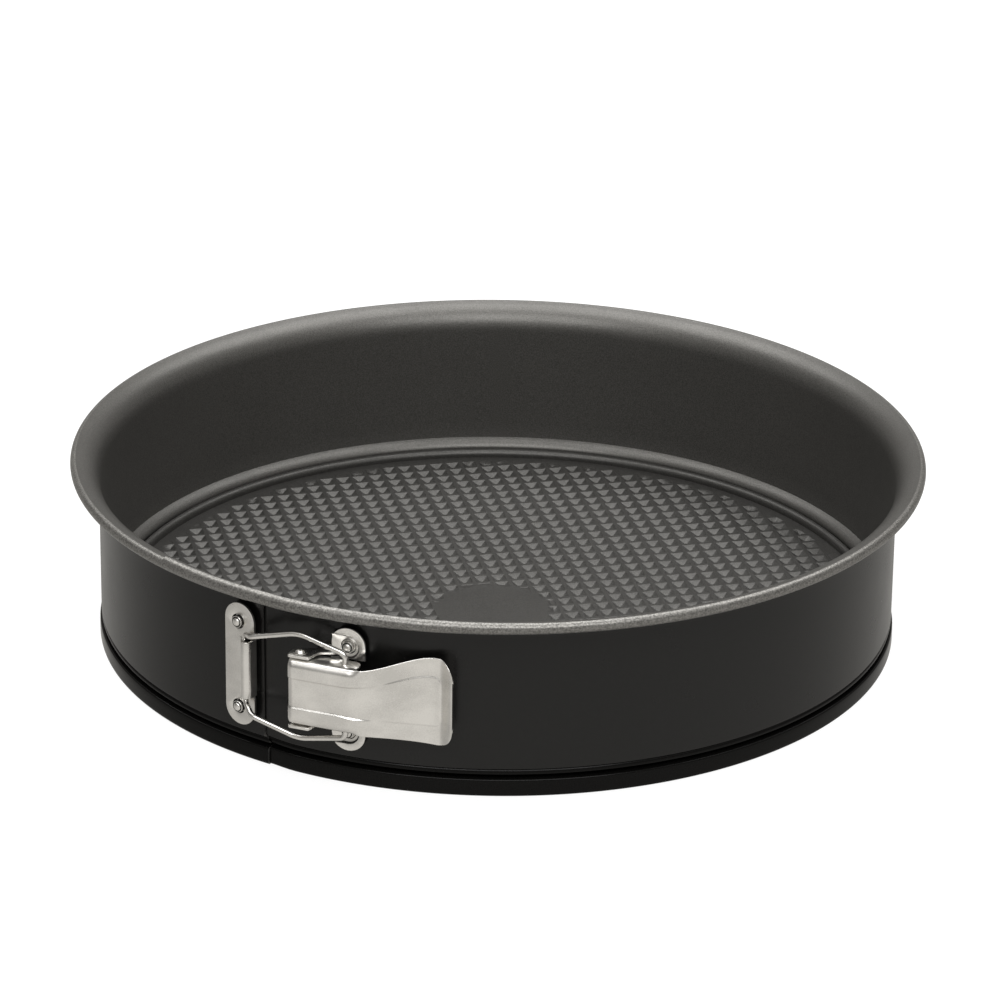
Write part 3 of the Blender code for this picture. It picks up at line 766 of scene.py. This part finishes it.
def ear_points():
    """An ear seen from above, from its root on the plate out to its straight front edge."""
    x, front = PIVOT[0], EAR_FRONT
    return (
        arc((x - 2.4, front - 1), 1, 180, 90, 5)
        + arc((x + 3.6, front - 0.8), 0.8, 90, 30, 4)
        + [(x + 4.9, front - 3), (x + 5.4, front - 4.6)]
        + [(x + 6.4, front - 5.9), (x + 8.2, front - 6.7), (x + 10.4, front - 7.3)]
        + [(x + 12, front - 9), (x + 5.2, front - 9), (x - 0.6, front - 6.6)]
        + arc((x - 2.4, front - 4.6), 1, 250, 180, 4)
    )


def flat_plate(name, outline, low, high):
    """A flat plate seen from above, between two heights, with rounded top and bottom edges."""
    shape, edge = np.array(outline), 0.16
    inset = inset_outline(shape, edge)
    slight = shape + (inset - shape) * 0.3
    rings = [(inset, low), (slight, low + edge * 0.3), (shape, low + edge)]
    rings += [(shape, high - edge), (slight, high - edge * 0.3), (inset, high)]
    points = [(x, -out, level) for ring, level in rings for x, out in ring]
    return mesh_object(name, points, ring_faces(len(rings), len(shape)), sharp=50)


def inset_outline(shape, distance):
    """The outline moved inwards by a distance, whichever way round it runs."""
    before, after = np.roll(shape, 1, 0), np.roll(shape, -1, 0)
    along = after - before
    along /= np.linalg.norm(along, axis=1)[:, None]
    area = (shape[:, 0] * after[:, 1] - shape[:, 1] * after[:, 0]).sum()
    inward = np.stack([-along[:, 1], along[:, 0]], 1) * (1 if area > 0 else -1)
    return shape + distance * inward


# The lever

LEVER_LEFT, LEVER_RIGHT = -15.2, 39.5
LEVER_HALF, TAB_HALF = 11.8, 15.8
LEVER_FACE, TAB_DROP = 152.5, 12.3
LEVER_SHEET = 0.8
TAB_CORNER = 6.5
LEFT_CORNER = 1.2
PANEL_END = 34.6
PANEL_CORNER = 2.2
PANEL_STEP = 0.42  # half the width of the panel's edge
TAB_LIP = 2.2  # how far the tab's end turns out
TAB_EDGE = 0.3  # radius of the tab's thin rounded edge
BEND = 3  # outside radius of the lever's long bends
CHEEK_SUNK = 0.02  # how far the cheeks lie inside the face's edges

# Places along the lever between which its shape changes
LEVER_CURVE = (6, 33)
TAB_FLARE = (9, 34)
PANEL_FLARES = ((2, 12), (10, 31))
PANEL_FADE = (5, 22)
BEND_END = (7, 11)


def lever_out(across):
    """How far out the lever's front is. Its left edge has a narrow step, and the tab's end turns out."""
    drop = TAB_DROP * ease(across, *LEVER_CURVE) - TAB_LIP * ease(across, PANEL_END - 0.4, LEVER_RIGHT)
    return LEVER_FACE - drop - 0.25 * (1 - ease(across, LEVER_LEFT + 1.0, LEVER_LEFT + 1.3))


def lever_half(across):
    """Half the lever's height, which grows to the tab and is rounded off at the tab's end."""
    half = LEVER_HALF + (TAB_HALF - LEVER_HALF) * ease(across, *TAB_FLARE)
    return half - rounded(LEVER_RIGHT - across, TAB_CORNER)


def panel_half(across):
    """Half the height of the stamped panel in the lever's front."""
    first, second = PANEL_FLARES
    half = 5.25 + 0.55 * ease(across, *first) + 3.05 * ease(across, *second)
    return half - rounded(PANEL_END - across, PANEL_CORNER)


def panel_rise(across):
    """The panel is slightly sunk between the cheeks and stands proud on the thumb tab."""
    return -0.6 + 0.88 * ease(across, *PANEL_FADE)


def lever_surface(across, share):
    """A point of the lever's front: share runs from -1 to 1 between its lower and upper edges."""
    half = lever_half(across)
    up = share * half
    edge = panel_half(across)
    inside = 1 - ease(np.abs(up), edge - PANEL_STEP, edge + PANEL_STEP)
    inside = inside * (1 - ease(across, PANEL_END - PANEL_STEP, PANEL_END + PANEL_STEP))
    out = lever_out(across) + panel_rise(across) * inside
    gap = half - np.abs(up)
    narrow = 1 - ease(across, *BEND_END)  # the tab has only a thin rounded edge
    return up, out - narrow * rounded(gap, BEND) - (1 - narrow) * rounded(gap, TAB_EDGE)


def lever_columns():
    """Places along the lever, closer together where its face turns."""
    left = [LEVER_LEFT + x for x in (0, 0.08, 0.3, 0.6, 1.0, 1.3)]
    flat = list(np.linspace(-13.2, 5, 16))
    bend = list(np.linspace(5.6, 32, 54))
    step = list(np.linspace(32.4, PANEL_END + 0.8, 14))
    turns = np.radians(np.linspace(12, 90, 14))
    corner = [LEVER_RIGHT - TAB_CORNER + TAB_CORNER * math.sin(turn) for turn in turns]
    return np.array(left + flat + bend + step + [x for x in corner if x > PANEL_END + 1])


def lever_shares(across):
    """Rows over the height, which follow the panel's edge and the long bends."""
    half, edge = float(lever_half(across)), float(panel_half(across))
    edge = min(edge, half - BEND - 0.7)
    middle = np.linspace(0, edge - 0.5, 10)
    step = np.linspace(edge - PANEL_STEP, edge + PANEL_STEP, 8)
    side = np.linspace(edge + 0.55, half - BEND, 5)
    turn = half - BEND + BEND * np.sin(np.radians(np.linspace(8, 90, 11)))
    upper = np.concatenate([middle, step, side, turn])
    return np.concatenate([-upper[:0:-1], upper]) / half


def lever_front():
    """The face's front as rows of points, one row for each place along the lever."""
    rows = []
    for across in lever_columns():
        up, out = lever_surface(across, lever_shares(across))
        out = out - rounded(across - LEVER_LEFT, LEFT_CORNER)
        rows.append(np.stack([np.full(len(up), across), -out, up + BUCKLE_MIDDLE], 1))
    return np.array(rows)


def lever_back(front):
    """The face's back: the front moved in by the sheet's thickness, and narrower by as much."""
    normal = np.cross(np.gradient(front, axis=0), np.gradient(front, axis=1))
    normal /= np.linalg.norm(normal, axis=2)[..., None] + 1e-12
    if normal[len(front) // 4, front.shape[1] // 2][1] > 0:
        normal = -normal
    back = front - LEVER_SHEET * normal
    up = front[:, :, 2] - BUCKLE_MIDDLE
    back[:, :, 2] = BUCKLE_MIDDLE + up * (1 - LEVER_SHEET / np.abs(up).max(1)[:, None])
    return back


def build_lever(steel):
    """The lever's face with its thumb tab, and its two cheeks."""
    front = lever_front()
    points = np.concatenate([front.reshape(-1, 3), lever_back(front).reshape(-1, 3)])
    face = mesh_object("lever_face", points, sheet_faces(*front.shape[:2]), sharp=60)
    finish_piece(place(face, LEVER_AZIMUTH), [steel], "lever")
    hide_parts("lever")
    for label, sign in SIDES:
        low, high = across_middle(sign, LEVER_HALF - LEVER_SHEET, LEVER_HALF - CHEEK_SUNK)
        cheek = place(flat_plate(f"lever_cheek_{label}", cheek_points(), low, high), LEVER_AZIMUTH)
        finish_piece(cheek, [steel], "lever")


def cheek_points():
    """A cheek seen from above: round about the pin, and with a lug past the hook's hole."""
    front, back = LEVER_FACE - BEND, 144.7
    return (
        [(LEVER_LEFT + 0.25, front), (8.9, front)]
        + [(9.1, front - 1.2), (8.3, front - 2.2)]
        + arc((6.4, back + 2.6), 2.6, 10, -90, 8)
        + [(2, back), (-6, back)]
        + arc(PIVOT, PIVOT[1] - back, -80, -172, 9)
    )


# Wire and pin

WIRE_RADIUS = 1.0
WIRE_LEG = (3.6, 144.5)  # across and out, in the catch plate's frame


def tube(name, path, radius, sides=16):
    """A round bar along a path of points."""
    path = np.array(path, float)
    ahead = np.gradient(path, axis=0)
    ahead /= np.linalg.norm(ahead, axis=1)[:, None]
    side = np.cross(ahead[0], (0.3, 0.5, 0.8))
    points = []
    for spot, direction in zip(path, ahead):
        side = side - direction * (side @ direction)
        side /= np.linalg.norm(side)
        other = np.cross(direction, side)
        for angle in np.linspace(0, 2 * math.pi, sides, endpoint=False):
            points.append(spot + radius * (math.cos(angle) * side + math.sin(angle) * other))
    return mesh_object(name, points, ring_faces(len(path), sides), sharp=50)


def round_corners(corners, radii, count=8):
    """A path through corners, each rounded off from a distance before it to the same after it."""
    corners = [np.array(corner, float) for corner in corners]
    path = [corners[0]]
    for before, corner, after, size in zip(corners, corners[1:], corners[2:], radii):
        start = corner + (before - corner) / np.linalg.norm(before - corner) * size
        end = corner + (after - corner) / np.linalg.norm(after - corner) * size
        for t in np.linspace(0, 1, count + 1):
            path.append(start * (1 - t) ** 2 + corner * 2 * t * (1 - t) + end * t * t)
    path.append(corners[-1])
    return path


def build_wire(wire_steel):
    """The wire: a leg in the catch plate's channel, and an arm at each end with a hook in the lever."""
    turn = math.radians(CATCH_AZIMUTH - LEVER_AZIMUTH)
    across, out = WIRE_LEG
    leg = np.array((across * math.cos(turn) + out * math.sin(turn),
                    across * math.sin(turn) - out * math.cos(turn), 0))
    corners = [
        leg,
        leg + (0, 0, 12.3),
        (-31.2, -145.3, 14.4),
        (-13.7, -146, 19.1),
        (HOOK[0], -HOOK[1], 15.2),
        (HOOK[0], -HOOK[1], LEVER_HALF - LEVER_SHEET - 0.5),
    ]
    upper = round_corners(corners, (1.9, 2, 3.2, 2.2))
    lower = [point * (1, 1, -1) for point in upper[:0:-1]]
    path = [point + (0, 0, BUCKLE_MIDDLE) for point in lower + upper]
    wire = place(tube("wire", path, WIRE_RADIUS), LEVER_AZIMUTH)
    finish_piece(wire, [wire_steel], "wire_bail")
    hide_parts("wire_bail")


def build_pin(steel):
    """The lever's pin, with a washer-like foot and a dome at each end."""
    reach = EAR_OUTSIDE
    half = [(0.01, reach + 1.25), (0.7, reach + 1.18), (1.25, reach + 0.98), (1.6, reach + 0.62)]
    half += [(1.72, reach + 0.3), (1.8, reach + 0.22), (2.25, reach + 0.2), (2.3, reach + 0.02)]
    half += [(1.4, reach - 0.02)]
    profile = half + [(radius, -up) for radius, up in reversed(half)]
    points = [(PIVOT[0] + x, y - PIVOT[1], up + BUCKLE_MIDDLE) for x, y, up in circles(profile)]
    pin = mesh_object("pin", points, ring_faces(len(profile), ROUND), sharp=40)
    finish_piece(place(pin, LEVER_AZIMUTH), [steel], "band_front_right")
    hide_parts("lever_pin")


# Materials

GRAIN = 2600  # cells per metre of the speckle and of the steel's grain
BAND_COATINGS = (  # name, dark and light grey, roughness, metallic, specular, bump, grain
    ("band_inside", 0.07, 0.12, 0.4, 0.62, 0.5, 0.3, GRAIN),
    # The rim's coarser speckle and bumps are the coating's own; its lighter, more metallic grey is a
    # painted highlight on the bead.
    ("band_rim_painted_highlight", 0.1, 0.24, 0.39, 0.74, 0.5, 0.42, 1700),
    ("band_outside", 0.003, 0.006, 0.26, 0.0, 0.33, 0.06, GRAIN),
    # A darker, duller copy of the outside paint: painted shade for the foot, which sits in the pan's own
    # shadow by the floor.
    ("band_foot_painted_shade", 0.002, 0.004, 0.16, 0.0, 0.1, 0.03, GRAIN),
)
BASE_COATING = ("base_coating", 0.034, 0.064, 0.4, 0.55, 0.5, 0.3, GRAIN)
STEELS = (  # name, dark and light grey, roughness
    ("satin_stainless", 0.71, 0.89, 0.3),
    # A darker copy of the satin steel: painted shade for the recesses' steep sides and the rivet grooves.
    ("painted_shade_steel", 0.07, 0.12, 0.4),
    ("drawn_wire", 0.7, 0.85, 0.24),
)


def new_material(name):
    """A node material, with what its builder needs."""
    material = bpy.data.materials.new(name)
    material.use_nodes = True
    nodes, links = material.node_tree.nodes, material.node_tree.links
    return material, nodes, links, nodes["Principled BSDF"]


def object_noise(nodes, links, scale, detail=2, stretch=(1, 1, 1)):
    """Noise in the object's own space, scale in cells per metre."""
    where = nodes.new("ShaderNodeTexCoord")
    mapping = nodes.new("ShaderNodeMapping")
    mapping.inputs["Scale"].default_value = stretch
    noise = nodes.new("ShaderNodeTexNoise")
    noise.inputs["Scale"].default_value = scale
    noise.inputs["Detail"].default_value = detail
    links.new(where.outputs["Object"], mapping.inputs["Vector"])
    links.new(mapping.outputs["Vector"], noise.inputs["Vector"])
    return noise.outputs["Fac"]


def ramp(nodes, links, source, stops):
    """Colours that follow a value: stops holds its positions, from 0 to 1, and their colours."""
    node = nodes.new("ShaderNodeValToRGB")
    while len(node.color_ramp.elements) < len(stops):
        node.color_ramp.elements.new(0.5)
    for element, (position, value) in zip(node.color_ramp.elements, stops):
        element.position = position
        element.color = (*value, 1)
    links.new(source, node.inputs["Fac"])
    return node.outputs["Color"]


def grey(value, warmth=1.0):
    """A slightly warm grey."""
    return (value * (1 + 0.03 * warmth), value, value * (1 - 0.06 * warmth))


def add_bump(nodes, links, shader, source, strength, distance):
    """Bumps on a shader's surface. distance is their height in metres."""
    bump = nodes.new("ShaderNodeBump")
    bump.inputs["Strength"].default_value = strength
    bump.inputs["Distance"].default_value = distance
    links.new(source, bump.inputs["Height"])
    links.new(bump.outputs["Normal"], shader.inputs["Normal"])


def coated(name, dark, light, roughness, metallic, specular, bump, grain):
    """Non-stick coating: a fine speckle of lighter flakes and a slightly pebbled surface."""
    material, nodes, links, shader = new_material(name)
    speckle = object_noise(nodes, links, grain, 3)
    colour = ramp(nodes, links, speckle, [(0.35, grey(dark)), (0.65, grey(light))])
    links.new(colour, shader.inputs["Base Color"])
    rough = ramp(nodes, links, object_noise(nodes, links, 60, 3),
                 [(0.3, (roughness * 0.93,) * 3), (0.7, (roughness * 1.07,) * 3)])
    links.new(rough, shader.inputs["Roughness"])
    shader.inputs["Metallic"].default_value = metallic
    shader.inputs["Specular IOR Level"].default_value = specular
    add_bump(nodes, links, shader, object_noise(nodes, links, 1100, 2), bump, 0.00012)
    return material


def stainless(name, dark, light, roughness):
    """Satin stamped stainless: an even fine grain and soft blotches."""
    material, nodes, links, shader = new_material(name)
    grain = object_noise(nodes, links, GRAIN, 2)
    blotches = object_noise(nodes, links, 75, 4, (1, 1, 1.6))
    mix = nodes.new("ShaderNodeMix")
    mix.data_type = "FLOAT"
    mix.inputs["Factor"].default_value = 0.65
    links.new(grain, mix.inputs["A"])
    links.new(blotches, mix.inputs["B"])
    colour = ramp(nodes, links, mix.outputs["Result"], [(0.38, grey(dark, 0.6)), (0.62, grey(light, 0.6))])
    links.new(colour, shader.inputs["Base Color"])
    rough = ramp(nodes, links, blotches, [(0.3, (roughness * 0.85,) * 3), (0.7, (roughness * 1.15,) * 3)])
    links.new(rough, shader.inputs["Roughness"])
    shader.inputs["Metallic"].default_value = 1
    add_bump(nodes, links, shader, grain, 0.07, 0.00005)
    return material


# Floor, light and camera

FLOOR_HALF = 6
SKY = ((-0.95, 0.6), (-0.55, 0.66), (-0.03, 0.72), (0.03, 0.28), (0.5, 0.36), (0.7, 0.55))
SKY_ACROSS = ((-1, 0.58), (-0.6, 1), (0.9, 1), (1, 0.9))
SKY_DEPTH = ((-0.5, 1), (0.6, 0.78))
CAMERA_PLACE = (0, -1.6008, 0.7261)
CAMERA_PITCH, CAMERA_YAW, CAMERA_ROLL = 0.4012, 0.0005, 0.0123  # radians
CAMERA_LENS, CAMERA_SENSOR = 176.9, 36


def build_floor():
    """A large white floor that shines a little and doesn't show in reflections."""
    material, _, _, shader = new_material("floor")
    shader.inputs["Base Color"].default_value = (0.2, 0.2, 0.2, 1)
    shader.inputs["Roughness"].default_value = 0.9
    shader.inputs["Specular IOR Level"].default_value = 0.1
    shader.inputs["Emission Color"].default_value = (1, 1, 1, 1)
    shader.inputs["Emission Strength"].default_value = 0.85
    size = FLOOR_HALF
    mesh = bpy.data.meshes.new("floor")
    corners = [(-size, -size, 0), (size, -size, 0), (size, size, 0), (-size, size, 0)]
    mesh.from_pydata(corners, [], [(0, 1, 2, 3)])
    floor = link("floor", mesh)
    floor.data.materials.append(material)
    floor.visible_glossy = False


def area_light(name, location, target, size, power):
    """A rectangular light that faces a target."""
    light = bpy.data.lights.new(name, "AREA")
    light.shape = "RECTANGLE"
    light.size, light.size_y = size
    light.energy = power
    obj = link(name, light)
    obj.location = location
    direction = Vector(target) - Vector(location)
    obj.rotation_euler = direction.to_track_quat("-Z", "Y").to_euler()


def build_lights():
    """Two large soft lights, overhead and in front, and the studio round them."""
    area_light("overhead", (0, 0.5, 1.5), (0, 0, 0), (2.4, 1.4), 39)
    area_light("key", (0, -1.25, 1.5), (0, 0, 0), (1.9, 1.1), 27)
    build_world()


def build_world():
    """A studio whose sky is dim low down and brighter overhead, with a mid grey table below."""
    world = bpy.data.worlds.new("studio")
    bpy.context.scene.world = world
    world.use_nodes = True
    nodes, links = world.node_tree.nodes, world.node_tree.links
    where = nodes.new("ShaderNodeTexCoord")
    split = nodes.new("ShaderNodeSeparateXYZ")
    links.new(where.outputs["Generated"], split.inputs["Vector"])
    sky = direction_ramp(nodes, links, split.outputs["Z"], SKY)
    sides = direction_ramp(nodes, links, split.outputs["X"], SKY_ACROSS)
    depth = direction_ramp(nodes, links, split.outputs["Y"], SKY_DEPTH)
    colour = product(nodes, links, product(nodes, links, sky, sides), depth)
    links.new(colour, nodes["Background"].inputs["Color"])


def direction_ramp(nodes, links, source, stops):
    """A grey that follows one part of a direction, from -1 to 1."""
    spread = nodes.new("ShaderNodeMapRange")
    spread.inputs["From Min"].default_value = -1
    links.new(source, spread.inputs["Value"])
    spaced = [((position + 1) / 2, grey(value, 0.3)) for position, value in stops]
    return ramp(nodes, links, spread.outputs["Result"], spaced)


def product(nodes, links, one, other):
    """One colour times the other."""
    mix = nodes.new("ShaderNodeMix")
    mix.data_type = "RGBA"
    mix.blend_type = "MULTIPLY"
    mix.inputs["Factor"].default_value = 1
    links.new(one, mix.inputs["A"])
    links.new(other, mix.inputs["B"])
    return mix.outputs["Result"]


def build_camera():
    """A long lens, 23 degrees above the pan, square to its front."""
    pitch, yaw, roll = CAMERA_PITCH, CAMERA_YAW, CAMERA_ROLL
    forward = Vector((math.sin(yaw) * math.cos(pitch), math.cos(yaw) * math.cos(pitch), -math.sin(pitch)))
    right = forward.cross(Vector((0, 0, 1))).normalized()
    up = right.cross(forward)
    side = right * math.cos(roll) + up * math.sin(roll)
    top = up * math.cos(roll) - right * math.sin(roll)
    data = bpy.data.cameras.new("camera")
    data.sensor_width = CAMERA_SENSOR
    data.lens = CAMERA_LENS
    data.clip_start, data.clip_end = 0.05, 50
    camera = link("camera", data)
    turn = Matrix((side, top, -forward)).transposed().to_4x4()
    camera.matrix_world = Matrix.Translation(CAMERA_PLACE) @ turn
    bpy.context.scene.camera = camera


def main():
    """Builds every piece, then the stage."""
    band = [coated(*values) for values in BAND_COATINGS]
    base_finish = coated(*BASE_COATING)
    # recess is the darker steel that paints shade into the recess sides and rivet grooves.
    steel, recess, wire_steel = [stainless(*values) for values in STEELS]
    build_band(band)
    build_base(base_finish)
    build_catch(steel, recess)
    build_hinge(steel, recess)
    build_lever(steel)
    build_wire(wire_steel)
    build_pin(steel)
    build_floor()
    build_lights()
    build_camera()
    bpy.context.scene.view_settings.view_transform = "Standard"
    bpy.context.scene.cycles.use_denoising = True


main()
